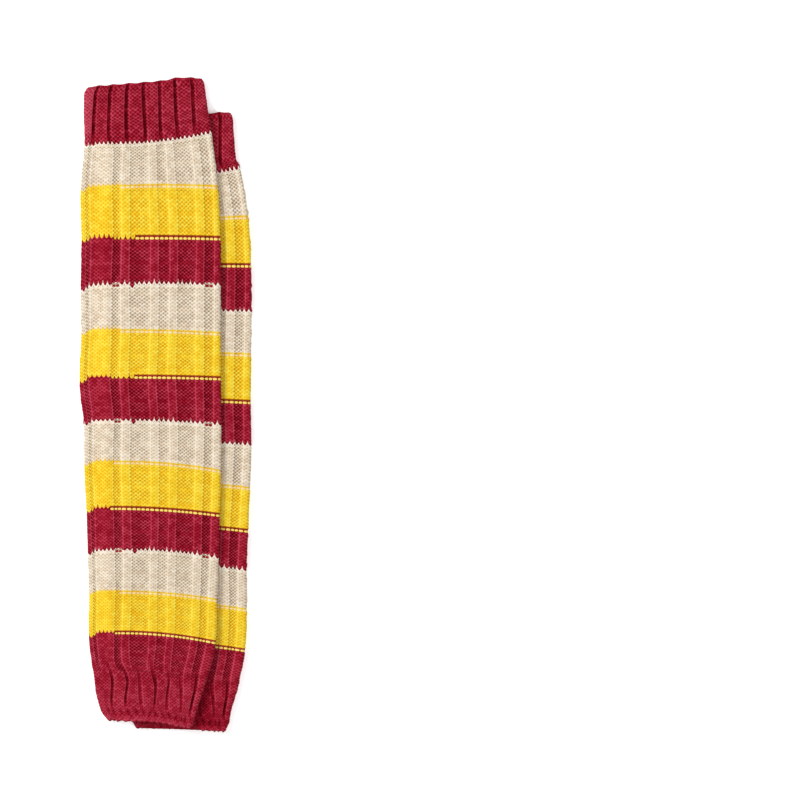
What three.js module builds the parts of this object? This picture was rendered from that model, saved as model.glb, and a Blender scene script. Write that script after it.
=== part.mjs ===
// Pair of rib-knit leg warmers, laid flat, one on the other.
// Millimetres. +X runs to the right, +Y towards the top cuffs, +Z up from the surface they lie on.
// Each leg warmer is one flattened tube in three stretches: top cuff, leg and bottom cuff.

import * as THREE from 'three';

// Cloth
const WALL = 1.7;
const SLIT = 0.7;
const TUBE_HEIGHT = 2 * WALL + SLIT;
const FOLD_RADIUS = TUBE_HEIGHT / 2;
const SEAM_GAP = 0.3;

// Relief of the ribs over the plain wall
const CUFF_RIB_RISE = 1.0;
const HEM_RIB_RISE = 0.8;
const RIB_CROWN = 0.15;
const RIB_SLOPE = 0.55;
const CUFF_GROOVE_WIDTH = 3.0;
const HEM_GROOVE_WIDTH = 2.2;
const RIM_PEAK = 0.9;
const HIGHEST_RISE = CUFF_RIB_RISE + RIB_CROWN;

// How the upper tube lies over the lower one: raised by a tube's height, then down past its left fold
const LIFT_HEIGHT = TUBE_HEIGHT + HIGHEST_RISE + SEAM_GAP;
const DRAPE_MARGIN = 1.2;
const DRAPE_RUN = 10;
const DRAPE_STEPS = [0, 0.25, 0.5, 0.75, 1];

// Centre of the drawn pair, which becomes the origin
const DRAWN_CENTRE = { x: 0.17, y: 0.21 };

// Rows of the upper tube, from its top rim down, each along one course of the knitting.
// y is the course's height at the tube's middle, left and right are the folds, tilt is how far the course's
// right end lies above its left end, bow how far its middle lies above the ends, and lift the share of the
// lower tube's height that it is raised by. steps is the number of sections down to the next row.
const UPPER_ROWS = [
  { at: 'top rim', y: 219.3, left: -52.4, right: 24.5, tilt: 6.1, bow: 0, lift: 0, steps: 1 },
  { at: 'below the rim', y: 214.5, left: -55.3, right: 26.2, tilt: 5.8, bow: 0, lift: 0, steps: 1 },
  { at: 'foot of the drape', y: 208, left: -55.5, right: 27.0, tilt: 5.9, bow: -0.3, lift: 0, steps: 4 },
  { at: 'end of the lower tube', y: 197, left: -55.5, right: 28.6, tilt: 6.1, bow: -1.2, lift: 1, steps: 2 },
  { at: 'cuff ends', y: 178.8, left: -55.4, right: 31.3, tilt: 6.8, bow: -3.1, lift: 1, steps: 2 },
  { at: 'first yellow', y: 149.9, left: -57.4, right: 35.7, tilt: 1.4, bow: 1.5, lift: 1, steps: 2 },
  { at: 'first red', y: 112.5, left: -56.8, right: 37.4, tilt: 0, bow: 0.7, lift: 1, steps: 2 },
  { at: 'second beige', y: 83.3, left: -57.3, right: 37.5, tilt: 0.7, bow: 1.5, lift: 1, steps: 2 },
  { at: 'second yellow', y: 51.3, left: -57.0, right: 37.6, tilt: -1.7, bow: 1.0, lift: 1, steps: 2 },
  { at: 'second red', y: 18.0, left: -58.1, right: 37.7, tilt: -0.7, bow: 0.8, lift: 1, steps: 2 },
  { at: 'third beige', y: -9.9, left: -55.1, right: 37.9, tilt: -2.4, bow: 1.5, lift: 1, steps: 2 },
  { at: 'third yellow', y: -38.4, left: -54.9, right: 37.8, tilt: -5.1, bow: 3.0, lift: 1, steps: 2 },
  { at: 'third red', y: -71.7, left: -53.3, right: 36.9, tilt: -4.4, bow: 1.9, lift: 1, steps: 2 },
  { at: 'fourth beige', y: -97.9, left: -52.4, right: 36.3, tilt: -4.4, bow: 3.0, lift: 1, steps: 2 },
  { at: 'fourth yellow', y: -126.5, left: -51.6, right: 35.3, tilt: -4.8, bow: 2.7, lift: 1, steps: 2 },
  { at: 'fourth red', y: -156.1, left: -51.7, right: 34.3, tilt: -6.1, bow: 3.1, lift: 1, steps: 2 },
  { at: 'bottom cuff starts', y: -181.2, left: -48.8, right: 28.2, tilt: -6.1, bow: 1.8, lift: 1, steps: 2 },
  { at: 'bottom cuff', y: -200.3, left: -45.9, right: 21.8, tilt: -4.6, bow: 1.2, lift: 1, steps: 2 },
  { at: 'above the hem', y: -209.8, left: -42.5, right: 18.9, tilt: -2.8, bow: 0.4, lift: 1, steps: 1 },
  { at: 'hem', y: -214.9, left: -38.4, right: 16.9, tilt: -1.6, bow: 0, lift: 1, steps: 0 },
];

// Rows of the lower tube, which lies flat on the surface
const LOWER_ROWS = [
  { at: 'top rim', y: 196.2, left: -33.6, right: 43.2, tilt: 6.1, bow: 0, lift: 0, steps: 1 },
  { at: 'below the rim', y: 191.4, left: -36.4, right: 45.2, tilt: 5.6, bow: -0.5, lift: 0, steps: 3 },
  { at: 'foot of the cuff', y: 163.5, left: -36.2, right: 47.4, tilt: 6.5, bow: -2.3, lift: 0, steps: 1 },
  { at: 'cuff ends', y: 154.7, left: -35.7, right: 50.7, tilt: 6.8, bow: -3.1, lift: 0, steps: 2 },
  { at: 'first yellow', y: 126.8, left: -37.4, right: 56.2, tilt: 4.1, bow: 0, lift: 0, steps: 2 },
  { at: 'first red', y: 93.5, left: -37.2, right: 58.2, tilt: 1.4, bow: 0.7, lift: 0, steps: 2 },
  { at: 'second beige', y: 64.9, left: -37.7, right: 58.4, tilt: 0.7, bow: 1.0, lift: 0, steps: 2 },
  { at: 'second yellow', y: 36.4, left: -37.4, right: 58.1, tilt: -0.7, bow: 1.0, lift: 0, steps: 2 },
  { at: 'second red', y: 2.4, left: -37.8, right: 57.8, tilt: -1.4, bow: 1.0, lift: 0, steps: 2 },
  { at: 'third beige', y: -24.1, left: -36.8, right: 58.3, tilt: -2.0, bow: 1.4, lift: 0, steps: 2 },
  { at: 'third yellow', y: -52.0, left: -37.5, right: 57.4, tilt: -3.4, bow: 2.0, lift: 0, steps: 2 },
  { at: 'third red', y: -82.6, left: -37.2, right: 56.1, tilt: -4.1, bow: 2.0, lift: 0, steps: 2 },
  { at: 'fourth beige', y: -107.1, left: -36.8, right: 55.2, tilt: -5.4, bow: 2.0, lift: 0, steps: 2 },
  { at: 'fourth yellow', y: -133.3, left: -35.6, right: 55.4, tilt: -5.4, bow: 2.4, lift: 0, steps: 2 },
  { at: 'fourth red', y: -162.9, left: -33.6, right: 54.0, tilt: -4.8, bow: 2.4, lift: 0, steps: 2 },
  { at: 'bottom cuff starts', y: -186.7, left: -29.6, right: 49.3, tilt: -4.8, bow: 1.4, lift: 0, steps: 2 },
  { at: 'bottom cuff', y: -204.3, left: -25.5, right: 44.6, tilt: -4.0, bow: 0.7, lift: 0, steps: 2 },
  { at: 'above the hem', y: -213.9, left: -22.9, right: 43.0, tilt: -3.0, bow: 0, lift: 0, steps: 1 },
  { at: 'hem', y: -220.6, left: -19.4, right: 40.6, tilt: -2.0, bow: 0, lift: 0, steps: 0 },
];

// Grooves between the eight ribs of a cuff's face, as shares of its width at the cuff's two ends
const TOP_CUFF_GROOVES = [
  { start: 0.100, end: 0.062 },
  { start: 0.222, end: 0.190 },
  { start: 0.361, end: 0.331 },
  { start: 0.494, end: 0.483 },
  { start: 0.630, end: 0.609 },
  { start: 0.765, end: 0.743 },
  { start: 0.915, end: 0.875 },
];

const BOTTOM_CUFF_GROOVES = [
  { start: 0.164, end: 0.120 },
  { start: 0.296, end: 0.270 },
  { start: 0.412, end: 0.405 },
  { start: 0.535, end: 0.545 },
  { start: 0.664, end: 0.685 },
  { start: 0.792, end: 0.815 },
  { start: 0.911, end: 0.930 },
];

// Columns of the leg's face from left to right: the share of the width where each one stops, at the leg's
// two ends, and how far it stands above the plain wall. They drift left, because the tube lies twisted.
const LEG_COLUMNS = [
  { name: 'left edge rib', start: 0.045, end: 0.040, rise: 0.55 },
  { name: 'left line', start: 0.072, end: 0.062, rise: 0.25 },
  { name: 'smooth panel', start: 0.238, end: 0.200, rise: 0.55 },
  { name: 'deep recess', start: 0.290, end: 0.250, rise: 0.0 },
  { name: 'left rib', start: 0.365, end: 0.330, rise: 1.0 },
  { name: 'left ladder panel', start: 0.498, end: 0.462, rise: 0.45 },
  { name: 'middle rib', start: 0.570, end: 0.535, rise: 0.9 },
  { name: 'narrow recess', start: 0.634, end: 0.600, rise: 0.3 },
  { name: 'right of middle rib', start: 0.706, end: 0.672, rise: 0.9 },
  { name: 'right ladder panel', start: 0.828, end: 0.790, rise: 0.45 },
  { name: 'right rib', start: 0.900, end: 0.866, rise: 0.9 },
  { name: 'right deep recess', start: 0.962, end: 0.915, rise: 0.0 },
  { name: 'right edge rib', start: 1, end: 1, rise: 0.55 },
];

// A ring's points that the ribs don't set
const FOLD_ANGLES = [-45, 0, 45];
const PLAIN_UNDERSIDE_POINTS = 6;
const INNER_FACE_POINTS = 12;
const EDGE_SEARCH_POINTS = 160;

// Yarn
const DEEP_RED = 0x9c2238;
const BEIGE = 0xdbc9ae;
const KNIT_ROUGHNESS = 0.92;

// Small sums

function mix(a, b, share) {
  return a + (b - a) * share;
}

function smooth(share) {
  const s = Math.min(1, Math.max(0, share));
  return s * s * (3 - 2 * s);
}

// A smooth curve through a column of a table, at a place that counts rows from 0
function alongRows(rows, column, place) {
  const last = rows.length - 1;
  const i = Math.min(last - 1, Math.max(0, Math.floor(place)));
  const s = place - i;
  const at = (k) => rows[Math.min(last, Math.max(0, k))][column];
  const slopeIn = (at(i + 1) - at(i - 1)) / 2;
  const slopeOut = (at(i + 2) - at(i)) / 2;
  const s2 = s * s;
  const s3 = s2 * s;
  return (
    at(i) * (2 * s3 - 3 * s2 + 1) +
    slopeIn * (s3 - 2 * s2 + s) +
    at(i + 1) * (3 * s2 - 2 * s3) +
    slopeOut * (s3 - s2)
  );
}

// One course of a tube: its folds, its curve and its lift
function courseAt(rows, place) {
  const i = Math.min(rows.length - 2, Math.floor(place));
  return {
    y: alongRows(rows, 'y', place),
    left: alongRows(rows, 'left', place),
    right: alongRows(rows, 'right', place),
    tilt: alongRows(rows, 'tilt', place),
    bow: alongRows(rows, 'bow', place),
    lift: mix(rows[i].lift, rows[i + 1].lift, smooth(place - i)),
  };
}

function courseHeight(course, share) {
  const fromMiddle = share - 0.5;
  return course.y + course.tilt * fromMiddle - 4 * course.bow * fromMiddle * fromMiddle;
}

// Left fold of the lower tube at a height, as a polyline of points from the top down
const lowerLeftFold = Array.from({ length: EDGE_SEARCH_POINTS + 1 }, (_, k) => {
  const course = courseAt(LOWER_ROWS, (k / EDGE_SEARCH_POINTS) * (LOWER_ROWS.length - 1));
  return { x: course.left, y: courseHeight(course, 0) };
});

function lowerLeftAt(y) {
  const after = lowerLeftFold.findIndex((point) => point.y <= y);
  if (after === 0) return lowerLeftFold[1].x;
  if (after < 0) return lowerLeftFold[EDGE_SEARCH_POINTS].x;
  const a = lowerLeftFold[after - 1];
  const b = lowerLeftFold[after];
  return mix(a.x, b.x, (a.y - y) / (a.y - b.y));
}

// How high the underside lies at a point of a course
function undersideAt(course, x, y) {
  if (course.lift === 0) return 0;
  const shoulder = lowerLeftAt(y) - DRAPE_MARGIN;
  return LIFT_HEIGHT * course.lift * smooth((x - shoulder + DRAPE_RUN) / DRAPE_RUN);
}

// Ribs

// Columns of a cuff: a rib, a groove, a rib and so on to the right fold
function cuffColumns(grooves, grooveShare, rise) {
  const columns = grooves.flatMap((groove) => [
    { start: groove.start - grooveShare / 2, end: groove.end - grooveShare / 2, rise },
    { start: groove.start + grooveShare / 2, end: groove.end + grooveShare / 2, rise: 0 },
  ]);
  return [...columns, { start: 1, end: 1, rise }];
}

// Points across the top face: two at each edge of a column and one on each rib's crown
function reliefSamples(columns, down, slopeShare, foldShare) {
  const samples = [];
  let from = foldShare;
  columns.forEach((column, k) => {
    const to = k === columns.length - 1 ? 1 - foldShare : mix(column.start, column.end, down);
    if (column.rise > 0) samples.push({ share: (from + to) / 2, rise: column.rise + RIB_CROWN });
    if (k < columns.length - 1) {
      samples.push({ share: to - slopeShare, rise: column.rise });
      samples.push({ share: to + slopeShare, rise: columns[k + 1].rise });
    }
    from = to;
  });
  return samples.map((sample) => ({
    share: Math.min(1 - foldShare * 1.1, Math.max(foldShare * 1.1, sample.share)),
    rise: sample.rise,
  }));
}

// Rings

// The underside's shares of the width, from the right fold to the left one. Where the tube drapes over
// the lower one's fold, they fall on the steps of the drape.
function undersideShares(course, foldShare) {
  const width = course.right - course.left;
  const shares = [];
  const drapes = course.lift > 0;
  const shoulder = lowerLeftAt(courseHeight(course, 0.15)) - DRAPE_MARGIN;
  const stop = drapes ? (shoulder - course.left) / width : foldShare;
  for (let k = 1; k <= PLAIN_UNDERSIDE_POINTS; k += 1) {
    shares.push(mix(1 - foldShare, stop, k / (PLAIN_UNDERSIDE_POINTS + 1)));
  }
  DRAPE_STEPS.forEach((step, k) => {
    const draped = stop - (step * DRAPE_RUN) / width;
    const plain = mix(1 - foldShare, foldShare, 0.86 + 0.025 * k);
    shares.push(drapes ? draped : plain);
  });
  return shares;
}

// One section of a tube as two closed loops. order runs 0 to 4 round each loop: left fold, top face,
// right fold, underside.
function ringAt(tube, piece, place, seamShift) {
  const course = courseAt(tube.rows, place);
  const width = course.right - course.left;
  const foldShare = FOLD_RADIUS / width;
  const down = (place - piece.from) / (piece.to - piece.from);
  const rimShare = place === piece.rimPlace ? 1 : 0;

  const point = (order, share, height, peak = 0) => {
    const x = course.left + width * share;
    const y = courseHeight(course, share);
    const z = undersideAt(course, x, y) + height;
    return { order, position: [x - DRAWN_CENTRE.x, y + seamShift + peak - DRAWN_CENTRE.y, z] };
  };
  const foldPoint = (order, centreShare, side, angle) => {
    const turn = THREE.MathUtils.degToRad(angle);
    const share = centreShare + side * foldShare * Math.cos(turn);
    return point(order, share, FOLD_RADIUS * (1 + Math.sin(turn)));
  };

  const outer = [point(0, foldShare, 0)];
  FOLD_ANGLES.forEach((angle, k) => outer.push(foldPoint((k + 1) / 4, foldShare, -1, angle)));
  outer.push(point(1, foldShare, TUBE_HEIGHT));
  const slopeShare = RIB_SLOPE / width;
  reliefSamples(piece.columns, down, slopeShare, foldShare).forEach((sample) => {
    const inGroove = sample.rise === 0 ? piece.rimSign * RIM_PEAK * rimShare : 0;
    outer.push(point(1 + sample.share, sample.share, TUBE_HEIGHT + sample.rise, inGroove));
  });
  outer.push(point(2, 1 - foldShare, TUBE_HEIGHT));
  [...FOLD_ANGLES].reverse().forEach((angle, k) => {
    outer.push(foldPoint(2 + (k + 1) / 4, 1 - foldShare, 1, angle));
  });
  outer.push(point(3, 1 - foldShare, 0));
  undersideShares(course, foldShare).forEach((share) => outer.push(point(4 - share, share, 0)));

  const innerEnd = WALL / width;
  const innerShares = Array.from({ length: INNER_FACE_POINTS }, (_, k) =>
    mix(1.6 * innerEnd, 1 - 1.6 * innerEnd, k / (INNER_FACE_POINTS - 1)),
  );
  const inner = [
    point(0.5, innerEnd, WALL + SLIT / 2),
    ...innerShares.map((share) => point(1 + share, share, WALL + SLIT)),
    point(2.5, 1 - innerEnd, WALL + SLIT / 2),
    ...innerShares.toReversed().map((share) => point(4 - share, share, WALL)),
  ];
  return { outer, inner };
}

// Shells

// Triangles between an outer and an inner loop, stepping round both in order
function rimTriangles(outer, inner, firstOuter, firstInner) {
  const triangles = [];
  const orderAt = (loop, k) => loop[k % loop.length].order + 4 * Math.floor(k / loop.length);
  let i = 0;
  let j = 0;
  while (i < outer.length || j < inner.length) {
    const outerIsNext = orderAt(outer, i + 1) <= orderAt(inner, j + 1);
    const stepOuter = j >= inner.length || (i < outer.length && outerIsNext);
    const a = firstOuter + (i % outer.length);
    const b = firstInner + (j % inner.length);
    if (stepOuter) {
      i += 1;
      triangles.push([a, firstOuter + (i % outer.length), b]);
    } else {
      j += 1;
      triangles.push([a, firstInner + (j % inner.length), b]);
    }
  }
  return triangles;
}

// A closed wall through the rings, open along the tube
function shellGeometry(rings) {
  const positions = [];
  const starts = rings.map((ring) => {
    const outer = positions.length / 3;
    ring.outer.forEach((p) => positions.push(...p.position));
    const inner = positions.length / 3;
    ring.inner.forEach((p) => positions.push(...p.position));
    return { outer, inner };
  });
  const triangles = [];
  for (let r = 0; r + 1 < rings.length; r += 1) {
    const outerCount = rings[r].outer.length;
    for (let k = 0; k < outerCount; k += 1) {
      const next = (k + 1) % outerCount;
      const [a, b] = [starts[r].outer + k, starts[r].outer + next];
      const [c, d] = [starts[r + 1].outer + k, starts[r + 1].outer + next];
      triangles.push([a, c, b], [b, c, d]);
    }
    const innerCount = rings[r].inner.length;
    for (let k = 0; k < innerCount; k += 1) {
      const next = (k + 1) % innerCount;
      const [a, b] = [starts[r].inner + k, starts[r].inner + next];
      const [c, d] = [starts[r + 1].inner + k, starts[r + 1].inner + next];
      triangles.push([a, b, c], [b, d, c]);
    }
  }
  const last = rings.length - 1;
  triangles.push(...rimTriangles(rings[0].outer, rings[0].inner, starts[0].outer, starts[0].inner));
  rimTriangles(rings[last].outer, rings[last].inner, starts[last].outer, starts[last].inner).forEach(
    ([a, b, c]) => triangles.push([a, c, b]),
  );
  const geometry = new THREE.BufferGeometry();
  geometry.setAttribute('position', new THREE.Float32BufferAttribute(positions, 3));
  geometry.setIndex(triangles.flat());
  geometry.computeVertexNormals();
  return geometry;
}

// Places of the sections of a stretch, counted in rows
function sectionPlaces(rows, from, to) {
  const places = [];
  for (let i = from; i < to; i += 1) {
    for (let k = 0; k < rows[i].steps; k += 1) places.push(i + k / rows[i].steps);
  }
  return [...places, to];
}

function stretchMesh(tube, piece, material) {
  const places = sectionPlaces(tube.rows, piece.from, piece.to);
  const rings = places.map((place, k) => {
    const atSeamAbove = k === 0 && piece.from > 0;
    const atSeamBelow = k === places.length - 1 && piece.to < tube.rows.length - 1;
    const seamShift = ((atSeamBelow ? 1 : 0) - (atSeamAbove ? 1 : 0)) * (SEAM_GAP / 2);
    return ringAt(tube, piece, place, seamShift);
  });
  const mesh = new THREE.Mesh(shellGeometry(rings), material);
  mesh.name = `${tube.name}_${piece.name}`;
  return mesh;
}

// The three stretches of a tube, between the rows named 'cuff ends' and 'bottom cuff starts'
function stretchesOf(rows) {
  const cuffEnds = rows.findIndex((row) => row.at === 'cuff ends');
  const hemStarts = rows.findIndex((row) => row.at === 'bottom cuff starts');
  const last = rows.length - 1;
  const topWidth = rows[cuffEnds].right - rows[cuffEnds].left;
  const hemWidth = rows[hemStarts].right - rows[hemStarts].left;
  return {
    topCuff: {
      name: 'top_cuff',
      from: 0,
      to: cuffEnds,
      rimPlace: 0,
      rimSign: 1,
      columns: cuffColumns(TOP_CUFF_GROOVES, CUFF_GROOVE_WIDTH / topWidth, CUFF_RIB_RISE),
    },
    leg: {
      name: 'leg',
      from: cuffEnds,
      to: hemStarts,
      rimPlace: null,
      rimSign: 0,
      columns: LEG_COLUMNS,
    },
    bottomCuff: {
      name: 'bottom_cuff',
      from: hemStarts,
      to: last,
      rimPlace: last,
      rimSign: -1,
      columns: cuffColumns(BOTTOM_CUFF_GROOVES, HEM_GROOVE_WIDTH / hemWidth, HEM_RIB_RISE),
    },
  };
}

function yarn(color) {
  return new THREE.MeshStandardMaterial({ color, roughness: KNIT_ROUGHNESS, metalness: 0 });
}

// Assembly

const pair = new THREE.Group();
pair.name = 'leg_warmers';

for (const tube of [{ name: 'lower', rows: LOWER_ROWS }, { name: 'upper', rows: UPPER_ROWS }]) {
  const { topCuff, leg, bottomCuff } = stretchesOf(tube.rows);
  const legWarmer = new THREE.Group();
  legWarmer.name = tube.name;
  legWarmer.add(stretchMesh(tube, topCuff, yarn(DEEP_RED)));
  legWarmer.add(stretchMesh(tube, leg, yarn(BEIGE)));
  legWarmer.add(stretchMesh(tube, bottomCuff, yarn(DEEP_RED)));
  pair.add(legWarmer);
}

export default pair;
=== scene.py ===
"""Looks of a pair of striped rib-knit leg warmers that lie flat, one on the other.

Every stitch of the faces that show is a raised form in the mesh. It is laid out by wale, a column
of stitches counted round the tube from the left fold, and by course, a row of stitches counted from
the top rim. In the arrays the wales run across and the courses down.
"""

import logging
import math
from dataclasses import dataclass, field
from enum import Enum
from typing import Callable, Union

import bpy
import numpy as np
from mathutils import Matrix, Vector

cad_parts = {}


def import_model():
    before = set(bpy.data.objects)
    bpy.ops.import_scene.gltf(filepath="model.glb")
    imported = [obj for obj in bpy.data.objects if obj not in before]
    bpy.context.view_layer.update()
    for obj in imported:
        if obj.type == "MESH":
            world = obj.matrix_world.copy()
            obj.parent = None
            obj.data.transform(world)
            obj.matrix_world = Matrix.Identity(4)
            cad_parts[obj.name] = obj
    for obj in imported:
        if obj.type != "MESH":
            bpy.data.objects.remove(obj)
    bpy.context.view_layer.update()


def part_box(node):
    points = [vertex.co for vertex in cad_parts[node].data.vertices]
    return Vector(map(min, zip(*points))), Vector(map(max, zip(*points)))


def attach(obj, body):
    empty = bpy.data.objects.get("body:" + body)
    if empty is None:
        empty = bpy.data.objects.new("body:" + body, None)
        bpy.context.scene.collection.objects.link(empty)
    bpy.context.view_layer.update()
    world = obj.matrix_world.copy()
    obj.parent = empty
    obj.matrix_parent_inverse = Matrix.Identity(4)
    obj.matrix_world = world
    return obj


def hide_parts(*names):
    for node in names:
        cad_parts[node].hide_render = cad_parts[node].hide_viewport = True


LOG = logging.getLogger("leg_warmers")
Array = np.ndarray
Colour = tuple[float, float, float, float]

# The sizes below are in millimetres, as a knitter's notes are, and the meshes are in metres
MM = 0.001

# Cloth
WALL = 1.7
TUBE_HEIGHT = 4.1
FOLD_RADIUS = TUBE_HEIGHT / 2
CUFF_RIB_RISE = 1.0
HEM_RIB_RISE = 0.8
TALL_RIB_RISE = 0.5
RIB_CROWN = 0.15
RIM_PEAK = 0.8
RIM_INSET = 0.4
RIM_LOOP = 0.45
EDGE_KNOTS = 0.3
DIMPLE_DEPTH = 0.9

# The upper tube is raised by the lower tube's height and comes down to the surface past its left fold
LIFT_HEIGHT = TUBE_HEIGHT + CUFF_RIB_RISE + RIB_CROWN + 0.3
DRAPE_MARGIN = 1.2
DRAPE_RUN = 10.0
DRAWN_CENTRE_X = 0.17
DRAWN_CENTRE_Y = 0.21

# Knitting
WALES_ROUND = 64
FACE_WALES = 34
WALE_WIDTH = 3.0
COURSE_HEIGHT = 2.3
COURSES = 188
TOP_CUFF_COURSES = 16
HEM_COURSE = 172
STRIPE_REPEAT = 39
BREAK_REPEAT = STRIPE_REPEAT / 9
BEIGE_COURSES = 13
YELLOW_COURSES = 14
STITCH_SLANT = 0.5
STITCH_DEPTH = 0.45
PANEL_DEPTH = 0.2
UNEVEN_DEPTH = 0.16
PILE_MIDDLE = 0.7
SPIKE_HEIGHT = 0.7
BEIGE_DELAY = 0.5
ACCENT_LINE = 0.34
ACCENT_SHIFT = 1.4
FRINGE = 0.17
RAGGED_COURSES = 20
MAPPING_BLEND = 4.0

# Points in each stitch
WALE_STEPS = 4
COURSE_STEPS = 6
INNER_COURSE_STEP = 3
RIM_STEPS = 5

# How much brighter than a plain white page the studio's light makes things
STUDIO_LIGHT = 1.2

# The braided edges of a rib catch the light, more so in the leg
CUFF_CHAIN_LIGHT = 0.4
LEG_CHAIN_LIGHT = 0.8

# Shades of the ladder breaks, the small holes, the creases and the cast-on line
BREAK_SHADE = 0.2
DIMPLE_SHADE = 1.1
CREASE_SHADE = 0.5
CAST_ON_LIGHT = 0.4

# Strength of the painted shade in the holes and highlight on the crowns in leg and cuff, and what panels
# add
LEG_CONTRAST = 0.42
CUFF_CONTRAST = 0.7
LADDER_CONTRAST = 0.58
DEEP_CONTRAST = 0.7

SEED = 7


class Stitch(Enum):
    """How a column of the face is knitted: the depth of its stitches and whether it has ladder breaks."""

    SMOOTH = "smooth"
    DEEP = "deep"
    LADDER = "ladder"
    PURL = "purl"


class Yarn(Enum):
    """The three yarns."""

    RED = "red"
    BEIGE = "beige"
    YELLOW = "yellow"


@dataclass(frozen=True)
class Row:
    """One course of a tube as it lies: where its folds are, how it tilts and bows, and its lift."""

    course: float
    y: float
    left: float
    right: float
    tilt: float
    bow: float
    lift: float = 0.0


@dataclass(frozen=True)
class Column:
    """A column of the face: its wales, the share of the width where it stops at its two ends, its form."""

    wales: int
    start: float
    end: float
    rise: float
    stitch: Stitch
    shade_left: float = 0.0
    shade_right: float = 0.0


@dataclass(frozen=True)
class PurlLook:
    """A purled row: its line's shade, fill and stain, its fringe, and its dashes' shade, fill and cream."""

    line_shade: float
    line_fill: float
    stain: float
    fringe_shade: float
    dash_shade: float
    dash_fill: float
    cream: float


TO_YELLOW = PurlLook(-0.1, 0.04, 0.0, 0.0, 0.05, 0.7, 0.3)
TO_RED = PurlLook(0.25, 1.0, 0.16, 0.35, -0.1, 1.0, 0.35)
TO_BEIGE = PurlLook(-0.8, 0.4, 0.0, 0.0, 0.1, 1.0, 0.0)


@dataclass(frozen=True)
class Accent:
    """A purled row that ends at a course: a line of the new yarn, then a dash of the old in each wale."""

    course: int
    look: PurlLook
    first_wale: int
    last_wale: int = WALES_ROUND


@dataclass(frozen=True)
class Jog:
    """Wales where a change of colour lies lower, where a round of knitting starts or the cloth is eased."""

    course: int
    first_wale: int
    last_wale: int
    drop: float


@dataclass(frozen=True)
class Crease:
    """A soft trough in a face: its middle by wale and course, its half sizes, its turn and its depth."""

    wale: float
    course: float
    length: float
    width: float
    turn: float
    depth: float


@dataclass(frozen=True)
class Hump:
    """A soft bend of a rim: the rim's course, the bend's middle and width in wales, and its height."""

    course: int
    wale: float
    width: float
    height: float


UPPER_ROWS = (
    Row(0, 219.3, -52.4, 24.5, 6.1, 0),
    Row(1.9, 214.5, -54.8, 26.2, 5.8, 0),
    Row(4.5, 208, -54.9, 27.0, 5.9, -0.3),
    Row(8.8, 197, -54.9, 28.6, 6.1, -1.2, 1),
    Row(16, 178.8, -54.7, 31.3, 6.8, -3.1, 1),
    Row(29, 149.9, -57.4, 35.7, 1.4, 1.5, 1),
    Row(43, 112.5, -56.8, 37.4, 0, 0.7, 1),
    Row(55, 83.3, -57.3, 37.5, 0.7, 1.5, 1),
    Row(68, 51.3, -57.0, 37.6, -1.7, 1.0, 1),
    Row(82, 18.0, -58.1, 37.7, -0.7, 0.8, 1),
    Row(94, -9.9, -55.1, 37.9, -2.4, 1.5, 1),
    Row(107, -38.4, -54.9, 37.8, -5.1, 3.0, 1),
    Row(121, -71.7, -53.3, 36.9, -4.4, 1.9, 1),
    Row(133, -97.9, -52.4, 36.3, -4.4, 3.0, 1),
    Row(146, -126.5, -51.6, 35.3, -4.8, 2.7, 1),
    Row(160, -156.1, -51.7, 34.3, -6.1, 3.1, 1),
    Row(172, -181.2, -48.8, 28.2, -6.1, 1.8, 1),
    Row(181.1, -200.3, -45.9, 21.8, -4.6, 1.2, 1),
    Row(185.6, -209.8, -42.5, 18.9, -2.8, 0.4, 1),
    Row(188, -214.9, -38.4, 16.9, -1.6, 0, 1),
)

LOWER_ROWS = (
    Row(0, 196.2, -33.6, 43.2, 6.1, 0),
    Row(1.9, 191.4, -36.4, 45.2, 5.6, -0.5),
    Row(12.6, 163.5, -36.2, 47.4, 6.5, -2.3),
    Row(16, 154.7, -35.7, 50.7, 6.8, -3.1),
    Row(29, 126.8, -37.4, 56.2, 4.1, 0),
    Row(43, 93.5, -37.2, 58.2, 1.4, 0.7),
    Row(55, 64.9, -37.7, 58.4, 0.7, 1.0),
    Row(68, 36.4, -37.4, 58.1, -0.7, 1.0),
    Row(82, 2.4, -37.8, 57.8, -1.4, 1.0),
    Row(94, -24.1, -36.8, 58.3, -2.0, 1.4),
    Row(107, -52.0, -37.5, 57.4, -3.4, 2.0),
    Row(121, -82.6, -37.2, 56.1, -4.1, 2.0),
    Row(133, -107.1, -36.8, 55.2, -5.4, 2.0),
    Row(146, -133.3, -35.6, 55.4, -5.4, 2.4),
    Row(160, -162.9, -33.6, 54.0, -4.8, 2.4),
    Row(172, -186.7, -29.6, 49.3, -4.8, 1.4),
    Row(180.3, -204.3, -25.5, 44.6, -4.0, 0.7),
    Row(184.8, -213.9, -22.9, 43.0, -3.0, 0),
    Row(188, -220.6, -19.4, 40.6, -2.0, 0),
)

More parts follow.
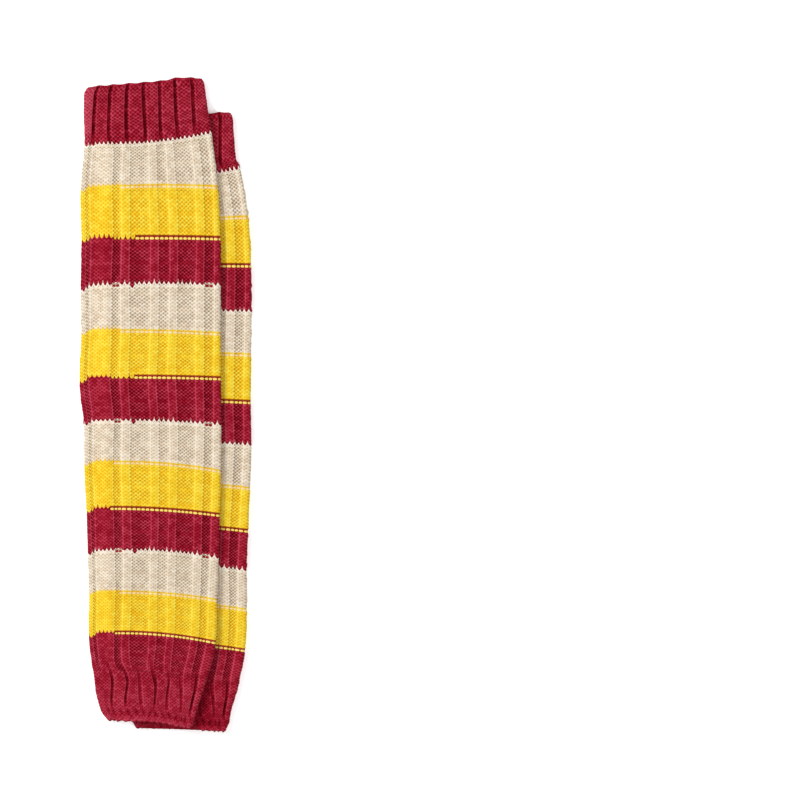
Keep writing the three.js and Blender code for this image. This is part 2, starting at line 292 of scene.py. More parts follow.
# An edge rib, a line, a smooth panel and a recess, then ribs between ladder panels and a recess
# An edge rib, a line, a smooth panel and a recess, then ribs between ladder panels and a recess
LEG_COLUMNS = (
    Column(3, 0.036, 0.033, 0.55, Stitch.SMOOTH),
    Column(1, 0.058, 0.052, 0.25, Stitch.DEEP, 0.3, 0.1),
    Column(5, 0.238, 0.200, 0.55, Stitch.SMOOTH),
    Column(2, 0.290, 0.250, 0.1, Stitch.DEEP, 0.7, 0.15),
    Column(2, 0.365, 0.330, 1.0, Stitch.SMOOTH),
    Column(4, 0.498, 0.462, 0.5, Stitch.LADDER, 0.4, 0.0),
    Column(2, 0.570, 0.535, 0.9, Stitch.SMOOTH),
    Column(2, 0.634, 0.600, 0.4, Stitch.LADDER, 0.45, 0.1),
    Column(2, 0.706, 0.672, 0.9, Stitch.SMOOTH),
    Column(4, 0.828, 0.790, 0.5, Stitch.LADDER, 0.45, 0.0),
    Column(2, 0.900, 0.866, 0.9, Stitch.SMOOTH),
    Column(2, 0.962, 0.915, 0.1, Stitch.DEEP, 0.7, 0.3),
    Column(3, 1.0, 1.0, 0.55, Stitch.SMOOTH),
)

# The grooves of a cuff, one purl wale each: the wale, its middle as a share of the width at the cuff's
# two ends, and its shade
TOP_CUFF_GROOVES = (
    (4, 0.100, 0.062, 1.0),
    (8, 0.222, 0.190, 1.0),
    (12, 0.361, 0.331, 1.0),
    (16, 0.494, 0.483, 1.0),
    (20, 0.630, 0.609, 0.9),
    (24, 0.765, 0.743, 1.0),
    (28, 0.915, 0.875, 0.9),
)
HEM_GROOVES = (
    (6, 0.185, 0.103, 1.0),
    (10, 0.315, 0.273, 1.0),
    (14, 0.425, 0.430, 0.5),
    (18, 0.545, 0.594, 1.0),
    (22, 0.674, 0.731, 0.8),
    (26, 0.785, 0.880, 0.5),
    (30, 0.921, 0.960, 1.1),
)
TOP_GROOVE_WIDTH = 2.0
HEM_GROOVE_WIDTH = 1.7

# A top cuff's first rib faces the light
FIRST_RIB_SHADES = (-0.8, -0.7)
NO_SHADES = (0.0, 0.0)

# How far the courses are drawn down at the upper tube's left fold, by course
UPPER_DROOPS = {
    4: 0, 16: 0.8, 29: 1.8, 43: 1.5, 55: 4.0, 68: 4.2, 82: 3.2, 94: 3.2,
    107: 3.0, 121: 2.0, 133: 2.6, 146: 2.0, 160: 2.0, 172: 0.8, 184: 0,
}


def cuff_columns(grooves: tuple, share: float, rise: float, lit: tuple[float, float]) -> list[Column]:
    """Turns a cuff's grooves into its columns, a rib and a groove by turns.

    Args:
        grooves: Wale, shares of the width and shade of each groove.
        share: Share of the cuff's width that a groove takes.
        rise: How far the ribs stand above the plain wall.
        lit: Shades of the first rib, left and right.

    Returns:
        The columns from the left fold to the right one.
    """
    half = share / 2
    columns, wale = [], 0
    for at, start, end, shade in grooves:
        columns.append(Column(at - wale, start - half, end - half, rise, Stitch.SMOOTH, *lit))
        columns.append(Column(1, start + half, end + half, 0.0, Stitch.PURL, shade, shade))
        wale, lit = at + 1, NO_SHADES
    columns.append(Column(FACE_WALES - wale, 1.0, 1.0, rise, Stitch.SMOOTH))
    return columns


def smooth(share: Array) -> Array:
    """Returns a soft step from 0 to 1."""
    held = np.clip(share, 0, 1)
    return held * held * (3 - 2 * held)


def mix(a: Array, b: Array, share: Array) -> Array:
    """Returns the value that lies at a share of the way from a to b."""
    return a + (b - a) * share


def bell(offset: Array, reach: float) -> Array:
    """Returns 1 at no offset, falling softly to 0 past the reach."""
    return np.exp(-((offset / reach) ** 2))


def spans(change: Union[Accent, Jog], wale: Array) -> Array:
    """Tells which wales a change of colour runs over."""
    return (wale >= change.first_wale) & (wale <= change.last_wale)


@dataclass
class Layout:
    """The columns of one stretch, its first and last course, and how bright the sides of its ribs are."""

    columns: tuple[Column, ...]
    first: float
    last: float
    chain_light: float
    edges: Array = field(init=False)

    def __post_init__(self) -> None:
        """Works out the wale at each column's edge."""
        self.edges = np.concatenate([[0], np.cumsum([column.wales for column in self.columns])])

    def column_at(self, wale: Array) -> Array:
        """Returns the number of the column that each wale lies in."""
        return np.clip(np.searchsorted(self.edges, wale, side="right") - 1, 0, len(self.columns) - 1)

    def of(self, wale: Array, name: str) -> Array:
        """Returns a field of the column that each wale lies in."""
        return np.array([getattr(column, name) for column in self.columns])[self.column_at(wale)]

    def across(self, wale: Array) -> Array:
        """Returns the share of its column's wales at which each wale lies."""
        k = self.column_at(wale)
        return (wale - self.edges[k]) / np.diff(self.edges)[k]

    def arc(self, wale: Array, course: Array, width: Array) -> Array:
        """Finds the length round the tube from the left fold's bottom to each wale.

        Args:
            wale: Wales of the points.
            course: Courses of the points.
            width: Width of the tube there.

        Returns:
            The arc length.
        """
        down = np.clip((course - self.first) / (self.last - self.first), 0, 1)
        bend = (math.pi - 1) * FOLD_RADIUS
        arcs = [bend + mix(column.start, column.end, down) * width for column in self.columns[:-1]]
        arcs = np.stack([0 * width, *arcs, 2 * bend + width])
        k = self.column_at(wale)[None]
        before = np.take_along_axis(arcs, k, axis=0)[0]
        after = np.take_along_axis(arcs, k + 1, axis=0)[0]
        return mix(before, after, self.across(wale))

    def rise(self, wale: Array) -> Array:
        """Works out how far the columns stand above the plain wall.

        Args:
            wale: Wales of the points.

        Returns:
            The rise, with soft steps between the columns and a low crown on each rib.
        """
        rises = [column.rise for column in self.columns]
        found = rises[0] + 0 * wale
        for edge, before, after in zip(self.edges[1:-1], rises, rises[1:]):
            found = found + (after - before) * smooth((wale - edge + 0.4) / 0.8)
        rib = self.of(wale, "rise") > TALL_RIB_RISE
        return found + rib * RIB_CROWN * (1 - (2 * self.across(wale) - 1) ** 2)

    def shade(self, wale: Array) -> Array:
        """Works out how deep in shade the columns lie.

        Args:
            wale: Wales of the points.

        Returns:
            The shade, below 0 on the bright chains at the sides of a rib.
        """
        k = self.column_at(wale)
        from_side = np.minimum(wale - self.edges[k], self.edges[k + 1] - wale)
        chain = (self.of(wale, "rise") > TALL_RIB_RISE) * bell(from_side - 0.25, 0.13)
        left, right = self.of(wale, "shade_left"), self.of(wale, "shade_right")
        return mix(left, right, np.sqrt(self.across(wale))) - self.chain_light * chain

    def has(self, wale: Array, stitch: Stitch) -> Array:
        """Returns 1 where a wale is knitted in that way, else 0."""
        return (self.of(wale, "stitch") == stitch) * 1.0


@dataclass
class LegWarmer:
    """One leg warmer: a flattened tube in three stretches, with its colour changes and creases."""

    name: str
    rows: tuple[Row, ...]
    accents: tuple[Accent, ...]
    creases: tuple[Crease, ...]
    humps: tuple[Hump, ...]
    jogs: tuple[Jog, ...] = ()
    droops: dict[int, float] = field(default_factory=lambda: {0: 0})
    puff: float = 0.0
    hem_light: float = 0.0
    hem_dip: float = 0.0
    under: Union["LegWarmer", None] = None
    layouts: tuple[Layout, ...] = field(init=False)
    uneven: Array = field(init=False)

    def __post_init__(self) -> None:
        """Lays out the three stretches and draws the stitches' small differences."""
        widths = [row.right - row.left for row in self.rows]
        cuff = cuff_columns(TOP_CUFF_GROOVES, TOP_GROOVE_WIDTH / widths[3], CUFF_RIB_RISE, FIRST_RIB_SHADES)
        hem = cuff_columns(HEM_GROOVES, HEM_GROOVE_WIDTH / widths[-4], HEM_RIB_RISE, NO_SHADES)
        self.layouts = (
            Layout(cuff, 0, TOP_CUFF_COURSES, CUFF_CHAIN_LIGHT),
            Layout(LEG_COLUMNS, TOP_CUFF_COURSES, HEM_COURSE, LEG_CHAIN_LIGHT),
            Layout(hem, HEM_COURSE, COURSES, CUFF_CHAIN_LIGHT),
        )
        numbers = np.random.default_rng(SEED + len(self.rows))
        self.uneven = numbers.normal(size=(WALES_ROUND, COURSES + 1)).clip(-2, 2)

    def place(self, course: Array) -> Array:
        """Returns the place of each course among the rows, counted from 0."""
        return np.interp(course, [row.course for row in self.rows], np.arange(len(self.rows)))

    def along(self, column: str, place: Array) -> Array:
        """Reads a smooth curve through one field of the rows.

        Args:
            column: Name of the field.
            place: Places among the rows.

        Returns:
            The values there.
        """
        values = np.array([getattr(row, column) for row in self.rows], float)
        last = len(values) - 1
        i = np.clip(np.floor(place).astype(int), 0, last - 1)
        s = place - i
        here, after = values[i], values[i + 1]
        slope_in = (after - values[np.maximum(i - 1, 0)]) / 2
        slope_out = (values[np.minimum(i + 2, last)] - here) / 2
        s2, s3 = s * s, s * s * s
        level = here * (2 * s3 - 3 * s2 + 1) + slope_in * (s3 - 2 * s2 + s)
        return level + after * (3 * s2 - 2 * s3) + slope_out * (s3 - s2)

    def height(self, place: Array, share: Array) -> Array:
        """Finds how far along the tube the points of a course lie.

        Args:
            place: Places among the rows.
            share: Shares of the tube's width.

        Returns:
            Their y.
        """
        middle = share - 0.5
        tilt, bow = self.along("tilt", place), self.along("bow", place)
        return self.along("y", place) + tilt * middle - 4 * bow * middle * middle

    def left_fold(self, y: Array) -> Array:
        """Finds this tube's left fold.

        Args:
            y: Where it is asked for, along the tube.

        Returns:
            The fold's x there, held past the tube's two ends.
        """
        place = np.linspace(0, len(self.rows) - 1, 161)
        heights = self.height(place, np.zeros_like(place))
        return np.interp(y, heights[::-1], self.along("left", place)[::-1])

    def underside(self, place: Array, x: Array, y: Array) -> Array:
        """Finds how high the tube's underside lies.

        Args:
            place: Places of the points among the rows.
            x: Their x.
            y: Their y.

        Returns:
            The height: on the tube beneath, and past that one's left fold down on the surface.
        """
        if self.under is None:
            return np.zeros_like(x)
        lifts = np.array([row.lift for row in self.rows], float)
        i = np.clip(np.floor(place).astype(int), 0, len(lifts) - 2)
        lift = mix(lifts[i], lifts[i + 1], smooth(place - i))
        shoulder = self.under.left_fold(y) - DRAPE_MARGIN
        return LIFT_HEIGHT * lift * smooth((x - shoulder + DRAPE_RUN) / DRAPE_RUN)


class Patch:
    """A patch of a leg warmer's wall, on the outside, the inside or over a rim."""

    def __init__(self, warmer: LegWarmer, wale: Array, course: Array, roll: Array) -> None:
        """Keeps the points' places and works out what most of its forms need.

        Args:
            warmer: The leg warmer.
            wale: Wale of each point of a row, 0 to 64 round the tube.
            course: Course of each row of points.
            roll: Turn of each row from the outer face over the rim, 0 outside to pi inside.
        """
        self.warmer = warmer
        self.wale = wale[None, :]
        self.course = course[:, None]
        self.roll = roll[:, None]
        self.from_rim = np.minimum(self.course, COURSES - self.course)
        self.to_rim = np.where(self.course < COURSES / 2, -1, 1)
        self.outside = np.clip(np.cos(self.roll), 0, 1)
        self.purled = (self.by_accents(0) == 1) * 1.0
        self.ladder = self.knitted(Stitch.LADDER)
        self.broken = self.breaks()
        self.dimple = self.dimples()
        self.crease = self.creasing()

    def weights(self, course: Array) -> tuple[Array, Array, Array]:
        """Weighs the three stretches against each other.

        Args:
            course: Courses of the points.

        Returns:
            How much the top cuff, the leg and the bottom cuff count, with soft changes between.
        """
        cuff = 1 - np.clip((course - TOP_CUFF_COURSES + MAPPING_BLEND) / (2 * MAPPING_BLEND), 0, 1)
        hem = np.clip((course - HEM_COURSE + MAPPING_BLEND) / (2 * MAPPING_BLEND), 0, 1)
        cuff, hem = smooth(cuff), smooth(hem)
        return cuff, 1 - cuff - hem, hem

    def blend(self, course: Array, read: Callable[[Layout], Array]) -> Array:
        """Blends what the three stretches' layouts say at each point."""
        weights = self.weights(course)
        return sum(weight * read(layout) for weight, layout in zip(weights, self.warmer.layouts))

    def knitted(self, stitch: Stitch) -> Array:
        """Returns how far each point belongs to columns that are knitted in that way."""
        return self.blend(self.course, lambda layout: layout.has(self.wale, stitch))

    def by_accents(self, above: float) -> Array:
        """Finds the points by the accents.

        Args:
            above: How far past the purled rows an accent counts in full.

        Returns:
            1 at an accent, falling to 0 a course away from it.
        """
        found = 0 * self.wale * self.course
        for accent in self.warmer.accents:
            away = np.maximum(accent.course - 1 - above - self.course, self.course - accent.course)
            found = np.maximum(found, np.clip(1 - away, 0, 1) * spans(accent, self.wale))
        return found

    def stitches(self) -> Array:
        """Works out the form of the stitches.

        Returns:
            The height of the yarn, from 0 in a hole to 1 on a crown.
        """
        across = np.abs(self.wale % 1 - 0.5)
        down = self.course % 1
        from_edge = np.minimum(down, 1 - down)
        from_kink = np.minimum(across, 0.5 - across)
        leg = 1 - 0.15 * bell(from_edge, 0.12) - 0.85 * bell(from_edge, 0.3) * bell(from_kink, 0.17)
        bar = np.sqrt(np.clip(1 - ((down - 0.5) / 0.46) ** 2, 0, 1)) * (1 - 0.6 * (2 * across) ** 4)
        dash = np.sqrt(np.clip(1 - ((down - 0.68) / 0.34) ** 2 - (across / 0.48) ** 4, 0, 1))
        line = 0.4 * bell(down - 0.17, 0.1)
        form = mix(leg, bar, self.knitted(Stitch.PURL))
        return mix(form, np.maximum(dash, line), self.purled)

    def breaks(self) -> Array:
        """Returns how near each row lies to a calmer break of the ladder panels, nine in a repeat."""
        into = (self.course - TOP_CUFF_COURSES) % STRIPE_REPEAT % BREAK_REPEAT
        return bell(into - 0.7 * BREAK_REPEAT, 0.55)

    def sway(self, level: Array) -> Array:
        """Works out how far the ribs stray sideways.

        Args:
            level: Courses of the points, bent as the stitches are.

        Returns:
            The shift, which is greater in the bottom cuff.
        """
        held = np.sin(np.pi * np.clip(self.wale / FACE_WALES, 0, 1))
        slow = np.sin(0.11 * level + 0.35 * self.wale + len(self.warmer.rows))
        quick = np.sin(0.37 * level + 0.62 * self.wale)
        low = smooth((level - HEM_COURSE + 12) / 12)
        return held * (0.35 * slow + (0.1 + 0.5 * low) * quick)

    def droop(self, level: Array, share: Array) -> Array:
        """Works out how far the rows hang down.

        Args:
            level: Courses of the points, bent as the stitches are.
            share: Shares of the tube's width.

        Returns:
            The drop by the left fold and at the hem's right end.
        """
        face = 1 - smooth((self.wale - 1.5) / 3.5)
        pulled = np.where(self.wale < FACE_WALES, face, smooth((self.wale - 56) / 8))
        drops = np.interp(level, list(self.warmer.droops), list(self.warmer.droops.values()))
        dip = smooth((share - 0.55) / 0.45) * smooth((level - COURSES + 12) / 12)
        return drops * pulled + self.warmer.hem_dip * dip

    def rim_wave(self) -> Array:
        """Works out the line of the two rims.

        Returns:
            How far they stand in from an even line: peaks at the grooves, loops and humps.
        """
        stitch = np.minimum(np.floor(self.wale).astype(int), WALES_ROUND - 1)
        loops = np.cos(np.pi * self.wale) * RIM_LOOP + self.warmer.uneven[stitch, COURSES] * 0.25
        peaks = sum(bell(self.wale - groove[0] - 0.5, 1.3) for groove in TOP_CUFF_GROOVES)
        wave = np.where(self.to_rim < 0, -RIM_PEAK * peaks, loops)
        for hump in self.warmer.humps:
            near = np.abs(self.course - hump.course) < COURSES / 2
            wave = wave - near * hump.height * bell(self.wale - hump.wale, hump.width)
        return wave * smooth(1 - self.from_rim / 2.5)

    def dimples(self) -> Array:
        """Finds the small holes above the bottom cuff's cast-on edge, one to each two wales.

        Returns:
            1 in a hole, falling to 0 round it.
        """
        size = 0.75 + 0.25 * np.cos(np.pi * (self.wale - 8) / 2)
        held = smooth((self.wale - 3) / 2) * smooth((FACE_WALES - 2 - self.wale) / 2)
        return bell(self.course - COURSES + 2.8, 1.0) * size * held * bell(self.wale % 2 - 1, 0.42)

    def creasing(self) -> Array:
        """Works out the soft troughs of the face.

        Returns:
            Their depth at each point.
        """
        found = 0 * self.wale * self.course
        for crease in self.warmer.creases:
            x = (self.wale - crease.wale) * WALE_WIDTH
            y = (self.course - crease.course) * COURSE_HEIGHT
            c, s = math.cos(math.radians(crease.turn)), math.sin(math.radians(crease.turn))
            found += crease.depth * bell(x * c + y * s, crease.length) * bell(y * c - x * s, crease.width)
        return found

    def raised(self, share: Array, up: Array, pile: Array) -> Array:
        """Finds how far the outer face stands out from the plain wall.

        Args:
            share: Shares of the tube's width.
            up: How far the wall faces up, from 1 on the face to -1 on the underside.
            pile: Height of the yarn.

        Returns:
            The rise of the columns, the puff of the tube, the stitches and the knots along the folds.
        """
        uneven = self.warmer.uneven
        stitch = np.minimum(np.floor(self.wale).astype(int), WALES_ROUND - 1)
        deeper = self.ladder * (1 - 2 * self.broken) + self.knitted(Stitch.DEEP)
        differs = UNEVEN_DEPTH * uneven[stitch, np.floor(self.course).astype(int)]
        depth = (STITCH_DEPTH + PANEL_DEPTH * deeper) * (1 + differs)
        cast_on = smooth((self.course - COURSES + 7) / 3)
        rise = self.blend(self.course, lambda layout: layout.rise(self.wale))
        rise = mix(rise - PANEL_DEPTH * self.ladder * self.broken, HEM_RIB_RISE, cast_on * 0.8)
        rise = (rise - DIMPLE_DEPTH * self.dimple - self.crease) * smooth((up + 0.1) / 0.9)
        puff = self.warmer.puff * np.sin(np.pi * np.clip(share, 0, 1)) * (up > 0)
        knots = np.interp(self.course, np.arange(COURSES + 1), uneven[0]) * smooth(self.from_rim / 2)
        yarn = depth * (pile - PILE_MIDDLE) * smooth((up + 0.75) / 1.1)
        return rise + puff + yarn + EDGE_KNOTS * knots * bell(up, 0.45)

    def shade(self, up: Array) -> Array:
        """Works out how deep in shade the points lie.

        Args:
            up: How far the wall faces up, from 1 on the face to -1 on the underside.

        Returns:
            The shade, from -1 in full light to 1.
        """
        cast_on = smooth((self.course - COURSES + 7) / 3)
        shade = self.blend(self.course, lambda layout: layout.shade(self.wale)) * (1 - cast_on)
        shade = (shade + BREAK_SHADE * self.ladder * self.broken) * smooth((self.from_rim + 0.2) / 1.4)
        shade = shade + DIMPLE_SHADE * self.dimple + CREASE_SHADE * self.crease
        light = self.warmer.hem_light + CAST_ON_LIGHT * bell(self.from_rim - 0.8, 0.5)
        shade = shade - light * smooth((self.course - HEM_COURSE) / 8)
        return np.clip(shade * smooth(up + 0.5) * self.outside, -1, 1)

    def stitch_shading(self) -> Array:
        """Works out the strength of the stitches' painted shade in holes and highlight on crowns.

        Returns:
            The strength, highest in the ladder panels and the recesses.
        """
        stitch_shading = mix(LEG_CONTRAST, CUFF_CONTRAST, self.weights(self.course)[0])
        stitch_shading = stitch_shading + LADDER_CONTRAST * self.ladder * (1 - self.broken)
        stitch_shading = stitch_shading + DEEP_CONTRAST * self.knitted(Stitch.DEEP)
        stitch_shading = stitch_shading * (1 - self.knitted(Stitch.PURL)) * (1 - self.purled)
        return stitch_shading * smooth(self.from_rim / 1.5)

    def points(self) -> dict[str, Array]:
        """Places the patch's points.

        Returns:
            Their places in metres and all that the finish needs to know of them, by name.
        """
        wale, warmer = self.wale, self.warmer
        slant = STITCH_SLANT * smooth(self.from_rim / 1.5) * self.outside
        slant = slant * (1 - self.by_accents(ACCENT_LINE))
        inset = RIM_INSET * (1 - np.sin(self.roll)) * np.clip(1 - self.from_rim, 0, 1)
        level = self.course - slant * np.abs(2 * (wale % 1) - 1) - self.to_rim * inset
        place = warmer.place(level)
        left, right = warmer.along("left", place), warmer.along("right", place)

        # Round the left fold, across the face and round the right fold, then back along the underside
        width = right - left
        flat = width - 2 * FOLD_RADIUS
        bend = math.pi * FOLD_RADIUS
        face = wale <= FACE_WALES
        wales = np.where(face, wale, 0)
        arc = self.blend(level, lambda layout: layout.arc(wales, level, width)) + self.sway(level) * face
        on_left = np.clip(arc, 0, bend) / FOLD_RADIUS
        on_right = np.clip(arc - bend - flat, 0, bend) / FOLD_RADIUS
        along = FOLD_RADIUS * (1 - np.sin(on_left) + np.sin(on_right)) + np.clip(arc - bend, 0, flat)
        back = right - FOLD_RADIUS - flat * (wale - FACE_WALES) / (WALES_ROUND - FACE_WALES)
        base_x = np.where(face, left + along, back)
        side = np.where(face, np.sin(on_right) - np.sin(on_left), 0.0)
        up = np.where(face, -np.cos(on_left + on_right), -1.0)
        base_z = FOLD_RADIUS * (1 + up)
        share = (base_x - left) / width
        y = warmer.height(place, share) - self.droop(level, share)

        # Out from the plain wall by the knitting's form, or in by the wall's thickness
        pile = self.stitches()
        tip = np.cos(self.roll)
        raised = self.raised(share, up, pile)
        out = (raised - WALL) / 2 + (raised + WALL) / 2 * tip
        peak = self.to_rim * self.rim_wave() * smooth((np.abs(up) - 0.3) / 0.5) * np.clip(1 + tip, 0, 1)
        return {
            "x": (base_x + side * out - DRAWN_CENTRE_X) * MM,
            "y": (y + peak - DRAWN_CENTRE_Y) * MM,
            "z": (base_z + up * out + warmer.underside(place, base_x, y)) * MM,
            "wale": wale,
            "course": self.course,
            "level": level,
            "slant": slant,
            "pile": pile,
            "shade": self.shade(up),
            "stitch_shading": self.stitch_shading(),
        }


@dataclass
class KnitShell:
    """One closed piece of a leg warmer's cloth, between two courses."""

    warmer: LegWarmer
    name: str
    first: int
    last: int
    data: dict[str, list] = field(default_factory=dict)
    faces: list = field(default_factory=list)
    cut_faces: list = field(default_factory=list)
    count: int = 0

    def lines(self) -> tuple[Array, Array]:
        """Lists the rows of points on the outside, with rounded rows where the piece ends in a rim.

        Returns:
            The course and the roll of each row.
        """
        step = 1 / COURSE_STEPS
        course = np.arange(self.first, self.last + step / 2, step)
        roll = np.zeros_like(course)
        over = np.linspace(math.pi, 0, RIM_STEPS + 2)[1:-1]
        if self.first == 0:
            course = np.concatenate([np.zeros(RIM_STEPS), course])
            roll = np.concatenate([over, roll])
        if self.last == COURSES:
            course = np.concatenate([course, np.full(RIM_STEPS, float(COURSES))])
            roll = np.concatenate([roll, over[::-1]])
        return course, roll

    def add(self, wale: Array, course: Array, roll: Array) -> Array:
        """Adds a patch's points.

        Args:
            wale: Wale of each point of a row.
            course: Course of each row.
            roll: Roll of each row.

        Returns:
            The points' numbers, rows by points.
        """
        shape = (len(course), len(wale))
        for name, values in Patch(self.warmer, wale, course, roll).points().items():
            self.data.setdefault(name, []).append(np.broadcast_to(values, shape).ravel())
        numbers = self.count + np.arange(shape[0] * shape[1]).reshape(shape)
        self.count += numbers.size
        return numbers

    def add_quads(self, numbers: Array, inward: bool = False) -> None:
        """Adds the quads of a patch whose rows run down and whose points run round the tube.

        Args:
            numbers: The points' numbers, rows by points.
            inward: True on the wall's inner side.
        """
        a, b = numbers[:-1, :-1], numbers[:-1, 1:]
        c, d = numbers[1:, :-1], numbers[1:, 1:]
        corners = (a, b, d, c) if inward else (a, c, d, b)
        self.faces.extend(np.stack(corners, axis=-1).reshape(-1, 4).tolist())

    def zip_lines(self, one: Array, other: Array, at_one: Array, at_other: Array) -> None:
        """Adds the triangles between two lines of points that run the same way.

        Args:
            one: Numbers of the first line's points.
            other: Numbers of the second line's points, to its left as the first line runs.
            at_one: How far along each point of the first line lies.
            at_other: How far along each point of the second line lies.
        """
        i, j = 0, 0
        while i < len(one) - 1 or j < len(other) - 1:
            ends = i == len(one) - 1
            if j == len(other) - 1 or (not ends and at_one[i + 1] <= at_other[j + 1]):
                self.faces.append([int(one[i]), int(one[i + 1]), int(other[j])])
                i += 1
            else:
                self.faces.append([int(one[i]), int(other[j + 1]), int(other[j])])
                j += 1

    def build(self) -> bpy.types.Object:
        """Makes the closed mesh with its knitting map.

        Returns:
            The new object.
        """
        course, roll = self.lines()
        face_wales = np.arange(FACE_WALES * WALE_STEPS + 1) / WALE_STEPS
        back_wales = np.arange(FACE_WALES + 1, WALES_ROUND, dtype=float)
        whole = (roll > 0) | (np.abs(course - np.round(course)) < 1e-6)
        face = self.add(face_wales, course, roll)
        back = self.add(back_wales, course[whole], roll[whole])
        self.add_quads(face)
        self.add_quads(back)
        order = np.arange(len(course), dtype=float)
        self.zip_lines(face[:, -1], back[:, 0], order, order[whole])
        self.zip_lines(back[:, -1], face[:, 0], order[whole], order)

        # The plain inside, and the walls that close it at both ends
        inner_course = np.arange(self.first, self.last + 0.5, INNER_COURSE_STEP)
        inner_course = np.unique(np.append(inner_course, self.last)).astype(float)
        around = np.arange(WALES_ROUND + 1, dtype=float)
        inner = self.add(around[:-1], inner_course, np.full(len(inner_course), math.pi))
        inner = np.hstack([inner, inner[:, :1]])
        self.add_quads(inner, inward=True)
        at_outer = np.concatenate([face_wales, back_wales, [WALES_ROUND]])
        first, last = (np.concatenate([face[row], back[row], face[row, :1]]) for row in (0, -1))
        before = len(self.faces)
        self.zip_lines(first, inner[0], at_outer, around)
        between = len(self.faces)
        self.zip_lines(inner[-1], last, around, at_outer)
        if self.first > 0:
            self.cut_faces.extend(range(before, between))
        if self.last < COURSES:
            self.cut_faces.extend(range(between, len(self.faces)))
        return self.to_object()

    def colour_changes(self, wale: Array, course: Array) -> dict[str, Array]:
        """Marks the faces at the changes of colour.

        Args:
            wale: Wale of each face's middle.
            course: Course of each face's middle.

        Returns:
            What the finish reads at each face, by name.
        """
        marks = {name: np.zeros(len(wale)) for name in ("jog", "dash", "purled", "line", "cream", "spike")}
        marks["spike"] += 1
        for jog in self.warmer.jogs:
            marks["jog"][spans(jog, wale) & (np.abs(course - jog.course) < 3)] = -jog.drop
        end = 1 + ACCENT_LINE
        for accent in self.warmer.accents:
            look, above = accent.look, accent.course - course
            dash = {"dash": look.dash_fill, "cream": look.cream, "purled": 1, "line": look.dash_shade}
            line = {"cream": look.stain, "purled": look.line_fill, "line": look.line_shade}
            line["spike"] = look.line_fill < 1
            fringe = {"cream": 0, "purled": 0, "line": look.fringe_shade}
            zones = ((-2, 3, {"spike": 0}), (0, 1, dash), (1, end, line), (end, end + FRINGE, fringe))
            for low, high, values in zones:
                zone = spans(accent, wale) & (above > low) & (above < high)
                for name, value in values.items():
                    marks[name][zone] = value
        return marks

    def to_object(self) -> bpy.types.Object:
        """Turns the gathered points and faces into an object with its map and attributes.

        Returns:
            The new object, linked to the scene.
        """
        mesh = bpy.data.meshes.new(self.name)
        data = {name: np.concatenate(values) for name, values in self.data.items()}
        places = np.stack([data.pop(axis) for axis in "xyz"], axis=-1)
        mesh.from_pydata(places.tolist(), [], self.faces)
        sizes = np.array([len(face) for face in self.faces])
        corners = np.concatenate([np.asarray(face) for face in self.faces])
        face_of = np.repeat(np.arange(len(sizes)), sizes)

        # A face that runs over the last wale to the first one counts on past the last
        wale = data.pop("wale")[corners]
        most = np.zeros(len(sizes))
        np.maximum.at(most, face_of, wale)
        wale = wale + WALES_ROUND * ((most[face_of] > WALES_ROUND - 1.5) & (wale < 1.5))
        middle_wale = np.bincount(face_of, wale) / sizes
        middle_course = np.bincount(face_of, data.pop("course")[corners]) / sizes
        layer = mesh.uv_layers.new(name="knit")
        knit = np.stack([wale / WALES_ROUND, data.pop("level")[corners] / COURSES], axis=-1)
        layer.data.foreach_set("uv", knit.astype(np.float32).ravel())
        for name, values in data.items():
            mesh.attributes.new(name, "FLOAT", "POINT").data.foreach_set("value", values.astype(np.float32))
        for name, values in self.colour_changes(middle_wale, middle_course).items():
            at_corners = values[face_of].astype(np.float32)
            mesh.attributes.new(name, "FLOAT", "CORNER").data.foreach_set("value", at_corners)
        smooth_faces = np.ones(len(sizes), bool)
        smooth_faces[self.cut_faces] = False
        mesh.polygons.foreach_set("use_smooth", smooth_faces)
        mesh.update()
        piece = bpy.data.objects.new(self.name, mesh)
        bpy.context.scene.collection.objects.link(piece)
        LOG.info("%s: %d points, %d faces", self.name, len(mesh.vertices), len(mesh.polygons))
        return piece


Value = Union["Socket", float]
FULL_TURN = 2 * math.pi


def operator(operation: str, reflected: bool = False) -> Callable:
    """Makes a method of Socket.

    Args:
        operation: What the Math node does.
        reflected: True where the socket is the second value.

    Returns:
        A method that adds the node and returns its output.
    """

    def work(socket: "Socket", *others: Value) -> "Socket":
        """Adds a Math node that works on the socket and others."""
        values = (*others, socket) if reflected else (socket, *others)
        return socket.tree.add("ShaderNodeMath", values, operation=operation)

    return work


class Socket:
    """A shader socket that can be used in Python sums. Its remainder is never below 0."""

    def __init__(self, tree: "Shader", link: bpy.types.NodeSocket) -> None:
        """Keeps the tree and the output that it stands for."""
        self.tree = tree
        self.link = link

    __add__ = __radd__ = operator("ADD")
    __sub__ = operator("SUBTRACT")
    __rsub__ = operator("SUBTRACT", reflected=True)
    __mul__ = __rmul__ = operator("MULTIPLY")
    __truediv__ = operator("DIVIDE")
    __mod__ = operator("FLOORED_MODULO")
    __pow__ = operator("POWER")
    above = operator("GREATER_THAN")
    below = operator("LESS_THAN")
    most = operator("MAXIMUM")
    least = operator("MINIMUM")
    size = operator("ABSOLUTE")
    floor = operator("FLOOR")
    sine = operator("SINE")
    cosine = operator("COSINE")


